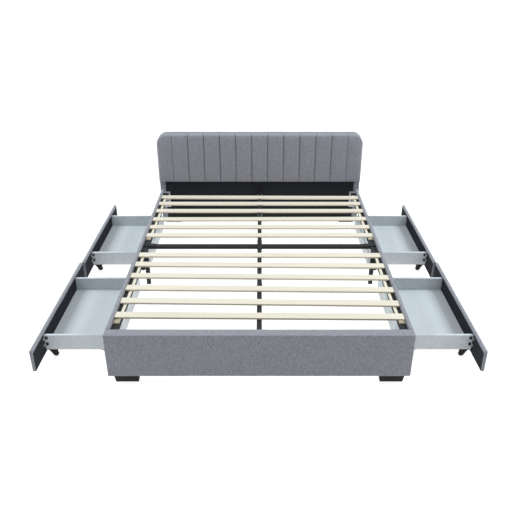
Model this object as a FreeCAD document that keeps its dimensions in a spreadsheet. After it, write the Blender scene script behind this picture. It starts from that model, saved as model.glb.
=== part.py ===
"""Platform bed with an upholstered frame, slatted base and four storage drawers on casters.

Frame: +X to the right seen from the foot end, +Y towards the headboard, +Z up, millimetres.
Origin: floor level, on the bed's centre line, half way along its length.
The drawers are drawn pulled out, which is their rest position.
"""
import FreeCAD, Part
import math
import os
import re

import Sketcher

SIZES = {
    # whole bed
    "bed_width": 1600,
    "overall_length": 2160,
    "foot_height": 52,
    "edge_round": 4,
    # headboard
    "headboard_width": 1624,
    "headboard_height": 769,
    "core_depth": 66,
    "pad_depth": 37,
    "pad_bottom": 378,
    "pad_overhang": 1,
    "corner_radius": 80,
    "post_width": 46,
    "panel_thickness": 18,
    # footboard and side rails
    "footboard_depth": 60,
    "rail_top": 311,
    "rail_height": 140,
    "rail_thickness": 20,
    # upholstery feet: tapered blocks
    "foot_length": 122,
    "foot_depth": 30,
    "foot_taper": 7.7,
    "foot_centre_front": 706,
    "foot_centre_head": 727,
    "foot_setback_front": 22,
    "foot_setback_head": 8,
    # slats, straps and the ledgers that carry them
    "slat_width": 55,
    "slat_thickness": 12,
    "slat_drop": 6,
    "slat_end_gap": 1,
    "slat_pitch": 145,
    "slat_count": 6,
    "slat_round": 2.5,
    "strap_width": 17,
    "strap_thickness": 2,
    "strap_inset": 27,
    "strap_tail": 42,
    "strap_fold": 4,
    "strap_clearance": 1,
    "ledger_width": 42,
    "ledger_height": 6,
    "ledger_stop": 44,
    # steel under the slats
    "middle_offset": 2,
    "group_gap": 300,
    "cross_beam_depth": 38,
    "cross_beam_height": 20,
    "tube_size": 28,
    "tube_wall": 1.5,
    "leg_size": 26,
    "glide_height": 6,
    "glide_overhang": 4.5,
    "glide_round": 1.5,
    "center_leg_forward": 19,
    "gusset_reach": 100,
    "gusset_drop": 150,
    "gusset_nose": 60,
    "gusset_bolt_reach": 75,
    "gusset_bolt_drop": 22,
    "plate_thickness": 3,
    "bracket_reach": 45,
    "bracket_flange": 40,
    "bracket_gap": 5,
    "bracket_height": 135,
    "foot_bracket_height": 104,
    "junction_width": 31,
    "junction_length": 140,
    "junction_bolt_inset": 14,
    "end_plate_overlap": 40,
    "end_plate_margin": 4,
    "end_bolt_inset": 14,
    "hanger_width": 48,
    "hanger_drop": 28,
    "hanger_bolt_drop": 12,
    "beam_bolt_inset": 8,
    "beam_bolt_drop": 10,
    "head_bolt_high": 48,
    "head_bolt_low": 104,
    "foot_bolt_high": 74,
    "foot_bolt_low": 110,
    "bolt_radius": 6,
    "bolt_head": 4,
    # drawers
    "drawer_gap": 4,
    "front_height": 132,
    "front_lift": 35,
    "front_thickness": 19,
    "foot_left_reach": 1221,
    "head_left_reach": 1208,
    "foot_right_reach": 1212,
    "head_right_reach": 1200,
    "box_depth": 415,
    "box_width": 660,
    "box_height": 95,
    "board_thickness": 15,
    "bottom_thickness": 12,
    "brace_flange": 22,
    "brace_leg": 24,
    "brace_height": 13,
    "brace_steel": 2,
    "brace_high": 78,
    "brace_low": 38,
    "knob_radius": 9.5,
    "knob_height": 6,
    "knob_inset": 14,
    # casters
    "caster_height": 54,
    "plate_length": 62,
    "plate_width": 34,
    "plate_steel": 2.5,
    "plate_round": 4,
    "race_radius": 16,
    "race_height": 6,
    "race_overlap": 1,
    "fork_width": 23,
    "fork_gap": 15,
    "fork_nose": 8,
    "fork_shoulder": 15,
    "fork_drop": 5,
    "fork_roof": 3,
    "fork_slot": 30,
    "trail": 10,
    "wheel_radius": 16,
    "wheel_width": 13,
    "tread_round": 2.5,
    "hub_radius": 10,
    "hub_recess": 1.5,
    "hub_boss": 3,
    "axle_radius": 3,
    "axle_clearance": 0.1,
    "axle_stand": 1,
    "caster_inset": 17,
    "outer_caster": 36,
    "inner_caster": 343,
}

# Slats are held in place by webbing, so each lies a little off its even pitch and a little
# askew: the distance in millimetres and the angle in degrees, from the foot end on.
HEAD_SLATS = ((-10, 0), (-17, 0), (-21, 0.3), (-13, 0), (-15, -0.1), (-30, -0.5))
FOOT_SLATS = ((-5, -0.7), (-8, -1.2), (-6, -1.0), (-5, -1.0), (-2, -0.9), (-11, -0.3))

PLANE_AXES = {"XY_Plane": "xyz", "YZ_Plane": "yzx", "XZ_Plane": "xzy"}

doc = FreeCAD.newDocument("platform_bed")
sheet = doc.addObject("Spreadsheet::Sheet", "Sizes")
for row, (alias, size) in enumerate(SIZES.items(), start=1):
    sheet.set(f"A{row}", alias)
    sheet.set(f"B{row}", str(size))
    sheet.setAlias(f"B{row}", alias)
doc.recompute()


def cells(text):
    """Turn plain size names in a formula into references to the sheet."""
    return re.sub(r"[a-z][a-z_]*", lambda word: "Sizes." + word.group(0), str(text))


def value(text):
    """The number that a formula of sizes gives now."""
    return float(sheet.evalExpression(cells(text)))


# Often used places, as formulas of the sheet's sizes.
FOOT_END = "(-overall_length / 2)"
HEAD_END = "(overall_length / 2)"
RAIL_START = f"({FOOT_END} + footboard_depth)"
HEAD_PLANE = f"({HEAD_END} - core_depth)"
RAIL_INSIDE = "(bed_width / 2 - rail_thickness)"
SLAT_TOP = "(rail_top - slat_drop)"
SLAT_BOTTOM = f"({SLAT_TOP} - slat_thickness)"
LEDGER_TOP = f"({SLAT_BOTTOM} - strap_thickness)"
LEDGER_BOTTOM = f"({LEDGER_TOP} - ledger_height)"
LEDGER_INSIDE = f"({RAIL_INSIDE} - ledger_width)"
MIDDLE = "middle_offset"
LEG_TOP = LEDGER_BOTTOM
DRAWER_LENGTH = f"(({HEAD_PLANE} - {RAIL_START} - 2 * drawer_gap) / 2)"


def place(thing, corner):
    """Bind an object's position to formulas for x, y and z."""
    for axis, formula in zip("xyz", corner):
        thing.setExpression(f"Placement.Base.{axis}", cells(formula))
    return thing


def new_body(label):
    """An empty PartDesign body."""
    body = doc.addObject("PartDesign::Body", label)
    body.Label = label
    return body


def new_sketch(body, plane):
    """A sketch on one of the body's own origin planes."""
    sketch = body.newObject("Sketcher::SketchObject", body.Name + "_sketch")
    plane_object = next(f for f in body.Origin.OriginFeatures if f.Role == plane)
    sketch.AttachmentSupport = (plane_object, [""])
    sketch.MapMode = "FlatFace"
    return sketch


def pin(sketch, geometry, point, formulas):
    """Fix a sketch point at formulas for its two coordinates."""
    for kind, axis, formula in (("DistanceX", -2, formulas[0]), ("DistanceY", -1, formulas[1])):
        if formula == "0":
            sketch.addConstraint(Sketcher.Constraint("PointOnObject", geometry, point, axis))
            continue
        where = (kind, -1, 1, geometry, point, value(formula))
        index = sketch.addConstraint(Sketcher.Constraint(*where))
        sketch.setExpression(f"Constraints[{index}]", cells(formula))


def draw_polygon(sketch, points):
    """Add a closed outline whose corners are bound to formulas."""
    corners = [FreeCAD.Vector(value(x), value(y), 0) for x, y in points]
    count = len(corners)
    first = sketch.GeometryCount
    for i, corner in enumerate(corners):
        sketch.addGeometry(Part.LineSegment(corner, corners[(i + 1) % count]), False)
    for i in range(count):
        after = first + (i + 1) % count
        sketch.addConstraint(Sketcher.Constraint("Coincident", first + i, 2, after, 1))
    for i, formulas in enumerate(points):
        pin(sketch, first + i, 1, formulas)


def draw_circle(sketch, centre, radius):
    """Add a circle bound to formulas for its centre and radius."""
    middle = FreeCAD.Vector(value(centre[0]), value(centre[1]), 0)
    circle = Part.Circle(middle, FreeCAD.Vector(0, 0, 1), value(radius))
    geometry = sketch.addGeometry(circle, False)
    pin(sketch, geometry, 3, centre)
    index = sketch.addConstraint(Sketcher.Constraint("Radius", geometry, value(radius)))
    sketch.setExpression(f"Constraints[{index}]", cells(radius))


def rectangle(width, height, inset="0"):
    """The corners of a rectangle from the sketch's origin, drawn in by an inset."""
    far_x, far_y = f"({width} - {inset})", f"({height} - {inset})"
    return [(inset, inset), (far_x, inset), (far_x, far_y), (inset, far_y)]


def pad(body, sketch, length, reverse=False, middle=False, taper=None):
    """Extrude a sketch by a formula's length."""
    feature = body.newObject("PartDesign::Pad", body.Name + "_pad")
    feature.Profile = sketch
    feature.setExpression("Length", cells(length))
    feature.Reversed = reverse
    feature.Midplane = middle
    if taper:
        feature.setExpression("TaperAngle", cells(taper))
    return feature


def pocket(body, sketch, length, middle=False):
    """Cut a sketch out of the body and check that it removed material."""
    doc.recompute()
    before = body.Shape.Volume
    feature = body.newObject("PartDesign::Pocket", body.Name + "_pocket")
    feature.Profile = sketch
    feature.setExpression("Length", cells(length))
    feature.Midplane = middle
    doc.recompute()
    if not body.Shape.Volume < before - 1:
        raise RuntimeError(f"the pocket in {body.Label} cuts nothing")
    return feature


def round_edges(body, radius, wanted=lambda edge: True):
    """Fillet the body's edges that a test accepts."""
    doc.recompute()
    base = body.Tip
    names = [f"Edge{i}" for i, edge in enumerate(base.Shape.Edges, start=1) if wanted(edge)]
    feature = body.newObject("PartDesign::Fillet", body.Name + "_fillet")
    feature.Base = (base, names)
    feature.setExpression("Radius", cells(radius))
    return feature


def runs_along(axis):
    """A test for straight edges along one axis of the body."""
    def test(edge):
        points = [vertex.Point for vertex in edge.Vertexes]
        if len(points) < 2:
            return False
        span = points[1] - points[0]
        return abs(getattr(span, axis)) > 0.999 * span.Length
    return test


def board(label, size, corner, plane="XY_Plane", rounding=None, wall=None, along=None):
    """A rectangular bar, board or tube from its lowest corner, sketched across its pad."""
    body = new_body(label)
    sketch = new_sketch(body, plane)
    axes = dict(zip("xyz", size))
    across, up, out = (axes[axis] for axis in PLANE_AXES[plane])
    draw_polygon(sketch, rectangle(across, up))
    if wall:
        draw_polygon(sketch, rectangle(across, up, wall))
    pad(body, sketch, out, reverse=plane == "XZ_Plane")
    if rounding:
        test = runs_along(along) if along else (lambda edge: True)
        round_edges(body, rounding, test)
    return place(body, corner)


def profile(label, plane, points, length, corner):
    """A plate or bracket of one outline, padded across its plane."""
    body = new_body(label)
    sketch = new_sketch(body, plane)
    draw_polygon(sketch, points)
    pad(body, sketch, length)
    return place(body, corner)


def stud(label, radius, height, corner, direction):
    """A round bolt head that stands out of a face."""
    head = doc.addObject("Part::Cylinder", label)
    head.setExpression("Radius", cells(radius))
    head.setExpression("Height", cells(height))
    head.Placement.Rotation = FreeCAD.Rotation(FreeCAD.Vector(0, 0, 1), FreeCAD.Vector(*direction))
    return place(head, corner)


def group(label, members):
    """Separate identical solids kept together as one sub-part."""
    bundle = doc.addObject("Part::Compound", label)
    bundle.Label = label
    bundle.Links = members
    return bundle


def mirror_x(formula):
    """The formula's negative, for the left side of the bed."""
    return f"(-({formula}))"


def flipped(outline, flips):
    """An outline with its first or second coordinates negated where a flip is negative."""
    return [
        tuple(mirror_x(f) if flip < 0 and f != "0" else f for flip, f in zip(flips, point))
        for point in outline
    ]


def from_side(side, near, width):
    """Lowest x of a piece whose nearest face to the centre line is at near, on either side."""
    return near if side > 0 else mirror_x(f"{near} + {width}")


def headboard():
    """Padded upper headboard on a core, two wrapped posts and a cloth-covered lower panel."""
    upper = "(headboard_height - pad_bottom)"

    def slab(label, overhang, depth, front):
        width = f"(headboard_width + 2 * {overhang})"
        corner = (f"(-{width} / 2)", front, "pad_bottom")
        body = board(label, (width, depth, upper), corner, plane="XZ_Plane")
        top = value(upper)
        across_y = runs_along("y")
        round_edges(body, "corner_radius", lambda e: across_y(e) and e.Vertexes[0].Z > top - 1)
        return body

    posts = []
    for side in (-1, 1):
        x = from_side(side, "(headboard_width / 2 - post_width)", "post_width")
        size = ("post_width", "core_depth", "(pad_bottom - foot_height)")
        corner = (x, HEAD_PLANE, "foot_height")
        posts.append(board("post", size, corner, rounding="edge_round", along="z"))
    panel_width = "(headboard_width - 2 * post_width)"
    panel_size = (panel_width, "panel_thickness", "(pad_bottom - foot_height)")
    panel_corner = (f"(-{panel_width} / 2)", HEAD_PLANE, "foot_height")
    return [
        slab("headboard_core", "0", "core_depth", HEAD_PLANE),
        slab("headboard_padding", "pad_overhang", "pad_depth", f"({HEAD_PLANE} - pad_depth)"),
        group("headboard_posts", posts),
        board("headboard_lower_panel", panel_size, panel_corner),
    ]


def block_feet(label, centre, front):
    """A pair of feet that taper towards the floor."""
    feet = []
    for side in (-1, 1):
        body = new_body("block_foot")
        sketch = new_sketch(body, "XY_Plane")
        draw_polygon(sketch, rectangle("foot_length", "foot_depth"))
        pad(body, sketch, "foot_height", taper="foot_taper")
        middle = centre if side > 0 else mirror_x(centre)
        feet.append(place(body, (f"({middle} - foot_length / 2)", front, "0")))
    return group(label, feet)


def footboard_and_rails():
    """The footboard box, its feet and the two side rails."""
    footboard_size = ("bed_width", "footboard_depth", "(rail_top - foot_height)")
    footboard_corner = ("(-bed_width / 2)", FOOT_END, "foot_height")
    pieces = [board("footboard", footboard_size, footboard_corner, rounding="edge_round")]
    rail_size = ("rail_thickness", f"({HEAD_PLANE} - {RAIL_START})", "rail_height")
    for side, name in ((-1, "side_rail_left"), (1, "side_rail_right")):
        x = from_side(side, RAIL_INSIDE, "rail_thickness")
        corner = (x, RAIL_START, "(rail_top - rail_height)")
        pieces.append(board(name, rail_size, corner, rounding="edge_round", along="y"))
    front = f"({FOOT_END} + foot_setback_front)"
    back = f"({HEAD_END} - foot_setback_head - foot_depth)"
    pieces.append(block_feet("footboard_feet", "foot_centre_front", front))
    pieces.append(block_feet("headboard_feet", "foot_centre_head", back))
    return pieces


def slatted_base():
    """Twelve slats in two groups on webbing straps, over a ledger along each rail."""
    pieces = []
    ledger_size = ("ledger_width", f"({HEAD_PLANE} - {RAIL_START} - ledger_stop)", "ledger_height")
    for side, name in ((-1, "ledger_left"), (1, "ledger_right")):
        x = from_side(side, LEDGER_INSIDE, "ledger_width")
        pieces.append(board(name, ledger_size, (x, RAIL_START, LEDGER_BOTTOM)))
    groups = (
        ("head", f"({MIDDLE} + group_gap / 2)", HEAD_SLATS),
        ("foot", f"({MIDDLE} - group_gap / 2 - (slat_count - 1) * slat_pitch)", FOOT_SLATS),
    )
    for name, first, spots in groups:
        slats = []
        for i, (shift, angle) in enumerate(spots):
            slats.append(slat(f"({first} + {i} * slat_pitch + {shift})", angle))
        pieces.append(group(f"slats_{name}", slats))
        pieces.append(straps(name, first))
    return pieces


def slat(centre, angle):
    """One slat across the bed, turned about its own middle by an angle in degrees."""
    length = f"(2 * ({RAIL_INSIDE} - slat_end_gap))"
    run = f"{math.cos(math.radians(angle)):.6f}"
    rise = f"({math.sin(math.radians(angle)):.6f})"
    corner = (
        f"(-{length} / 2 * {run} + slat_width / 2 * {rise})",
        f"({centre} - {length} / 2 * {rise} - slat_width / 2 * {run})",
        SLAT_BOTTOM,
    )
    size = (length, "slat_width", "slat_thickness")
    body = board("slat", size, corner, plane="YZ_Plane", rounding="slat_round", along="x")
    body.setExpression("Placement.Rotation.Angle", str(angle))
    return body


def straps(name, first):
    """The two webbing straps under a group of slats, each with its tail folded outward."""
    near = f"({first} - slat_width / 2 - strap_tail)"
    run = "((slat_count - 1) * slat_pitch + slat_width + strap_tail)"
    tail_width = "(strap_inset + strap_width / 2 - strap_clearance)"
    tail_length = "(strap_tail - strap_fold)"
    members = []
    for side in (-1, 1):
        points = [
            ("0", "0"),
            (tail_width, "0"),
            (tail_width, tail_length),
            ("strap_width", tail_length),
            ("strap_width", run),
            ("0", run),
        ]
        inner = f"({RAIL_INSIDE} - strap_inset - strap_width / 2)"
        if side < 0:
            points = flipped(points, (-1, 1))
            inner = mirror_x(inner)
        corner = (inner, near, LEDGER_TOP)
        members.append(profile("strap", "XY_Plane", points, "strap_thickness", corner))
    return group(f"slat_straps_{name}", members)


def center_steel():
    """Cross beam, the two centre beams that meet it, and three legs with their glides."""
    beam_front = f"({MIDDLE} - cross_beam_depth / 2)"
    beam_back = f"({MIDDLE} + cross_beam_depth / 2)"
    cross_corner = (mirror_x(LEDGER_INSIDE), beam_front, f"({SLAT_BOTTOM} - cross_beam_height)")
    cross_size = (f"(2 * {LEDGER_INSIDE})", "cross_beam_depth", "cross_beam_height")
    pieces = [board("cross_beam", cross_size, cross_corner, plane="YZ_Plane", wall="tube_wall")]
    runs = (
        ("center_beam_foot", RAIL_START, beam_front),
        ("center_beam_head", beam_back, HEAD_PLANE),
    )
    for name, start, end in runs:
        size = ("tube_size", f"({end} - {start})", "tube_size")
        corner = ("(-tube_size / 2)", start, f"({SLAT_BOTTOM} - tube_size)")
        pieces.append(board(name, size, corner, plane="XZ_Plane", wall="tube_wall"))
    leg_y = f"({MIDDLE} - center_leg_forward - leg_size / 2)"
    leg_height = f"({SLAT_BOTTOM} - tube_size - glide_height)"
    leg_size = ("leg_size", "leg_size", leg_height)
    leg_corner = ("(-leg_size / 2)", leg_y, "glide_height")
    pieces.append(board("center_leg", leg_size, leg_corner, wall="tube_wall"))
    side_y = f"({MIDDLE} - leg_size / 2)"
    legs = [side_leg(side, side_y) for side in (-1, 1)]
    pieces.append(group("side_legs", legs))
    spots = [("(-leg_size / 2)", leg_y)]
    for side in (-1, 1):
        x = from_side(side, f"({RAIL_INSIDE} - plate_thickness - leg_size)", "leg_size")
        spots.append((x, side_y))
    glides = [glide(x, y, "glide_overhang" if i == 0 else "0") for i, (x, y) in enumerate(spots)]
    pieces.append(group("leg_glides", glides))
    return pieces


def glide(x, y, overhang):
    """A plastic glide under a leg tube, a little wider under the centre leg."""
    side = f"(leg_size + 2 * {overhang})"
    corner = (f"({x} - {overhang})", f"({y} - {overhang})", "0")
    return board("glide", (side, side, "glide_height"), corner, rounding="glide_round", along="z")


def side_leg(side, leg_y):
    """A square tube leg welded to a gusset plate that bolts to the rail's inner face."""
    body = new_body("side_leg")
    tube = new_sketch(body, "XY_Plane")
    draw_polygon(tube, rectangle("leg_size", "leg_size"))
    draw_polygon(tube, rectangle("leg_size", "leg_size", "tube_wall"))
    height = f"({LEG_TOP} - glide_height)"
    pad(body, tube, height)
    doc.recompute()
    plate = new_sketch(body, "YZ_Plane")
    low = f"({height} - gusset_drop)"
    shoulder = f"({height} - gusset_nose)"
    outline = [
        ("0", low),
        ("leg_size", low),
        ("(leg_size + gusset_reach)", shoulder),
        ("(leg_size + gusset_reach)", height),
        ("(-gusset_reach)", height),
        ("(-gusset_reach)", shoulder),
    ]
    draw_polygon(plate, outline)
    if side > 0:
        plate.setExpression("AttachmentOffset.Base.z", cells("leg_size"))
    pad(body, plate, "plate_thickness", reverse=side < 0)
    x = from_side(side, f"({RAIL_INSIDE} - plate_thickness - leg_size)", "leg_size")
    return place(body, (x, leg_y, "glide_height"))


def angle_bracket(label, side, direction, corner, height):
    """A folded steel angle: one flange along the rail, one across the end board.

    corner is the inside corner where the rail meets the end board; the flanges run
    towards the centre line, and along the rail in the given direction of y.
    """
    steel = "plate_thickness"
    outline = [
        ("0", "0"),
        ("bracket_reach", "0"),
        ("bracket_reach", steel),
        (steel, steel),
        (steel, "bracket_flange"),
        ("0", "bracket_flange"),
    ]
    return profile(label, "XY_Plane", flipped(outline, (-side, direction)), height, corner)


def hanger(label, face_y, direction):
    """A folded plate that holds a centre beam's end: a back plate and a shelf under the beam."""
    low = f"({SLAT_BOTTOM} - tube_size - hanger_drop)"
    steel = "plate_thickness"
    rise = "hanger_drop"
    shelf = f"({rise} - {steel})"
    outline = [
        ("0", "0"),
        (steel, "0"),
        (steel, shelf),
        ("bracket_reach", shelf),
        ("bracket_reach", rise),
        ("0", rise),
    ]
    corner = ("(-hanger_width / 2)", face_y, low)
    return profile(label, "YZ_Plane", flipped(outline, (direction, 1)), "hanger_width", corner)


def brackets():
    """Corner angles, centre beam hangers, and the plates over the beam joints."""
    members = []
    corners = (
        ("head_angle", HEAD_PLANE, f"({LEDGER_TOP} - bracket_gap - bracket_height)", -1, "bracket_height"),
        ("foot_angle", RAIL_START, f"({LEDGER_BOTTOM} - bracket_gap - foot_bracket_height)", 1,
         "foot_bracket_height"),
    )
    for side in (-1, 1):
        x = RAIL_INSIDE if side > 0 else mirror_x(RAIL_INSIDE)
        for label, y, low, direction, height in corners:
            members.append(angle_bracket(label, side, direction, (x, y, low), height))
    members.append(hanger("head_hanger", HEAD_PLANE, -1))
    members.append(hanger("foot_hanger", RAIL_START, 1))
    return group("frame_brackets", members)


def beam_plates():
    """Black plates that bolt the cross beam to the ledgers and to the centre beams."""
    members = []
    top = SLAT_BOTTOM
    junction_y = f"({MIDDLE} - junction_length / 2)"
    junction_size = ("junction_width", "junction_length", "plate_thickness")
    members.append(board("junction", junction_size, ("(-junction_width / 2)", junction_y, top)))
    reach = "(ledger_width - end_plate_margin + end_plate_overlap)"
    end_size = (reach, "cross_beam_depth", "plate_thickness")
    for side in (-1, 1):
        x = from_side(side, f"({LEDGER_INSIDE} - end_plate_overlap)", reach)
        y = f"({MIDDLE} - cross_beam_depth / 2)"
        members.append(board("end_plate", end_size, (x, y, top)))
    return group("beam_plates", members)


def bolts():
    """Bolt heads on the brackets, plates and gussets."""
    heads = []
    head_face = f"({HEAD_PLANE} - plate_thickness)"
    foot_face = f"({RAIL_START} + plate_thickness)"
    beam_face = f"({MIDDLE} - cross_beam_depth / 2)"
    plate_face = f"({SLAT_BOTTOM} + plate_thickness)"

    def add(x, y, z, direction):
        heads.append(stud("bolt", "bolt_radius", "bolt_head", (x, y, z), direction))

    for side in (-1, 1):
        def at(formula):
            return formula if side > 0 else mirror_x(formula)

        across = at(f"({RAIL_INSIDE} - bracket_reach / 2)")
        for drop in ("head_bolt_high", "head_bolt_low"):
            add(across, head_face, f"(rail_top - {drop})", (0, -1, 0))
        for drop in ("foot_bolt_high", "foot_bolt_low"):
            add(across, foot_face, f"(rail_top - {drop})", (0, 1, 0))
        add(at(f"({RAIL_INSIDE} - end_bolt_inset)"), MIDDLE, plate_face, (0, 0, 1))
        inside = at(f"({RAIL_INSIDE} - plate_thickness)")
        for way in ("-", "+"):
            y = f"({MIDDLE} {way} gusset_bolt_reach)"
            add(inside, y, f"({LEG_TOP} - gusset_bolt_drop)", (-side, 0, 0))
        beam_x = at(f"({LEDGER_INSIDE} - beam_bolt_inset)")
        add(beam_x, beam_face, f"({SLAT_BOTTOM} - beam_bolt_drop)", (0, -1, 0))
        hanger_x = at("(hanger_width / 2 - beam_bolt_inset)")
        add(hanger_x, head_face, f"({SLAT_BOTTOM} - tube_size - hanger_bolt_drop)", (0, -1, 0))
    reach = "(junction_length / 2 - junction_bolt_inset)"
    for y in (f"({MIDDLE} - {reach})", MIDDLE, f"({MIDDLE} + {reach})"):
        add("0", y, plate_face, (0, 0, 1))
    return group("frame_bolts", heads)


def caster_fork(x, y, inward):
    """One caster housing: fixing plate, raceway, and a two-cheek fork with its axle.

    The fork trails towards the bed's centre line, as it does when the drawer is pulled out.
    """
    body = new_body("caster_fork")
    plate = new_sketch(body, "XY_Plane")
    corners = [
        ("(-plate_length / 2)", "(-plate_width / 2)"),
        ("(plate_length / 2)", "(-plate_width / 2)"),
        ("(plate_length / 2)", "(plate_width / 2)"),
        ("(-plate_length / 2)", "(plate_width / 2)"),
    ]
    draw_polygon(plate, corners)
    pad(body, plate, "plate_steel", reverse=True)
    round_edges(body, "plate_round", runs_along("z"))
    race = new_sketch(body, "XY_Plane")
    draw_circle(race, ("0", "0"), "race_radius")
    pad(body, race, "(plate_steel + race_height)", reverse=True)
    cheek = new_sketch(body, "XZ_Plane")
    top = "(-(plate_steel + race_height - race_overlap))"
    axle_z = "(wheel_radius - caster_height)"
    low = f"({axle_z} - fork_drop)"
    centre = "trail" if inward > 0 else "(-trail)"
    left = f"({centre} - fork_nose)"
    right = f"({centre} + fork_nose)"
    outline = [("(-fork_shoulder)", top), (left, low), (right, low), ("fork_shoulder", top)]
    draw_polygon(cheek, outline)
    pad(body, cheek, "fork_width", middle=True)
    slot = new_sketch(body, "XZ_Plane")
    roof = "(-(plate_steel + race_height + fork_roof))"
    slot_points = [
        ("(-fork_slot)", "(-caster_height)"),
        ("fork_slot", "(-caster_height)"),
        ("fork_slot", roof),
        ("(-fork_slot)", roof),
    ]
    draw_polygon(slot, slot_points)
    pocket(body, slot, "fork_gap", middle=True)
    axle = new_sketch(body, "XZ_Plane")
    draw_circle(axle, (centre, axle_z), "axle_radius")
    pad(body, axle, "(fork_width + 2 * axle_stand)", middle=True)
    return place(body, (x, y, "caster_height"))


def caster_wheel(x, y):
    """A caster wheel: a rounded tread round a recessed hub with an axle hole."""
    body = new_body("caster_wheel")
    sketch = new_sketch(body, "YZ_Plane")
    bore = "(axle_radius + axle_clearance)"
    half = "(wheel_width / 2)"
    waist = "(wheel_width / 2 - hub_recess)"
    boss = "(axle_radius + hub_boss)"
    shoulder = "(wheel_radius - tread_round)"
    ring = [
        (half, boss), (waist, boss), (waist, "hub_radius"), (half, "hub_radius"),
        (half, shoulder), (f"({half} - tread_round)", "wheel_radius"),
    ]
    mirrored = [(mirror_x(a), r) for a, r in reversed(ring)]
    outline = [(mirror_x(half), bore), (half, bore)] + ring + mirrored
    draw_polygon(sketch, outline)
    turn = body.newObject("PartDesign::Revolution", body.Name + "_turn")
    turn.Profile = sketch
    turn.ReferenceAxis = (sketch, ["H_Axis"])
    turn.Angle = 360
    return place(body, (x, y, "wheel_radius"))


def drawer(name, side, start, reach):
    """One drawer: upholstered front, box of five boards, corner braces and four casters.

    start is the y where its front begins; reach is how far its front face stands out in x.
    """
    def at(formula):
        return formula if side > 0 else mirror_x(formula)

    front_inside = f"({reach} - front_thickness)"
    box_end = f"({front_inside} - box_depth)"
    middle = f"({start} + {DRAWER_LENGTH} / 2)"
    near = f"({middle} - box_width / 2)"
    far = f"({middle} + box_width / 2)"
    low = "caster_height"
    pieces = []

    def box(part, size, near_x, y, z, **options):
        x = from_side(side, near_x, size[0])
        pieces.append(board(f"{name}_{part}", size, (x, y, z), **options))

    front_size = ("front_thickness", DRAWER_LENGTH, "front_height")
    box("front", front_size, front_inside, start, "front_lift", rounding="edge_round")
    side_size = ("box_depth", "board_thickness", "box_height")
    box("side_near", side_size, box_end, near, low)
    box("side_far", side_size, box_end, f"({far} - board_thickness)", low)
    inner_width = "(box_width - 2 * board_thickness)"
    inner_y = f"({near} + board_thickness)"
    box("back", ("board_thickness", inner_width, "box_height"), box_end, inner_y, low)
    bottom_size = ("(box_depth - board_thickness)", inner_width, "bottom_thickness")
    box("bottom", bottom_size, f"({box_end} + board_thickness)", inner_y, low)

    braces = []
    brace_outline = [
        ("0", "0"),
        ("brace_leg", "0"),
        ("brace_leg", "brace_steel"),
        ("brace_steel", "brace_steel"),
        ("brace_steel", "brace_flange"),
        ("0", "brace_flange"),
    ]
    for y, outward in ((near, -1), (far, 1)):
        for height in ("brace_low", "brace_high"):
            corner = (at(front_inside), y, f"({low} + {height} - brace_height / 2)")
            points = flipped(brace_outline, (-side, outward))
            braces.append(profile("brace", "XY_Plane", points, "brace_height", corner))
            knob_y = f"({y} + {outward} * brace_steel)"
            knob_at = (at(f"({front_inside} - knob_inset)"), knob_y, f"({low} + {height})")
            braces.append(stud("knob", "knob_radius", "knob_height", knob_at, (0, outward, 0)))
    pieces.append(group(f"{name}_corner_braces", braces))

    forks = []
    for row, inset in (("outer", "outer_caster"), ("inner", "inner_caster")):
        wheels = []
        for y in (f"({near} + caster_inset)", f"({far} - caster_inset)"):
            x = at(f"({front_inside} - {inset})")
            forks.append(caster_fork(x, y, -side))
            wheels.append(caster_wheel(f"({x} - {side} * trail)", y))
        pieces.append(group(f"{name}_{row}_wheels", wheels))
    pieces.append(group(f"{name}_caster_forks", forks))
    return pieces


def drawers():
    """Two drawers down each side of the bed."""
    foot_start = f"({RAIL_START} + drawer_gap / 2)"
    head_start = f"({foot_start} + {DRAWER_LENGTH} + drawer_gap)"
    places = (
        ("drawer_foot_left", -1, foot_start, "foot_left_reach"),
        ("drawer_head_left", -1, head_start, "head_left_reach"),
        ("drawer_foot_right", 1, foot_start, "foot_right_reach"),
        ("drawer_head_right", 1, head_start, "head_right_reach"),
    )
    return [piece for spot in places for piece in drawer(*spot)]


def main():
    """Build every sub-part, check each one, and write its STEP file."""
    pieces = headboard() + footboard_and_rails() + slatted_base() + center_steel()
    pieces += [brackets(), beam_plates(), bolts()]
    pieces += drawers()
    doc.recompute()
    broken = [thing.Label for thing in doc.Objects if {"Invalid", "Error"} & set(thing.State)]
    if broken:
        raise RuntimeError(f"these objects failed: {broken}")
    os.makedirs("parts", exist_ok=True)
    for piece in pieces:
        shape = piece.Shape
        if shape.isNull() or not shape.isValid() or shape.Volume <= 0:
            raise RuntimeError(f"{piece.Label} has no valid solid")
        shape.exportStep(f"parts/{piece.Label}.step")
        box = shape.BoundBox
        low = (box.XMin, box.YMin, box.ZMin)
        high = (box.XMax, box.YMax, box.ZMax)
        print(piece.Label, len(shape.Solids), [round(v, 1) for v in low], [round(v, 1) for v in high])
    print(len(pieces), "sub-parts")


main()
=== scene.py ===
"""Looks for the platform bed with storage drawers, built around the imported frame.

Metres, +X to the right seen from the foot end, +Y towards the headboard, +Z up, floor at z = 0.
"""
import math

import bmesh
import bpy
import numpy as np
from mathutils import Matrix, Vector, noise


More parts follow.
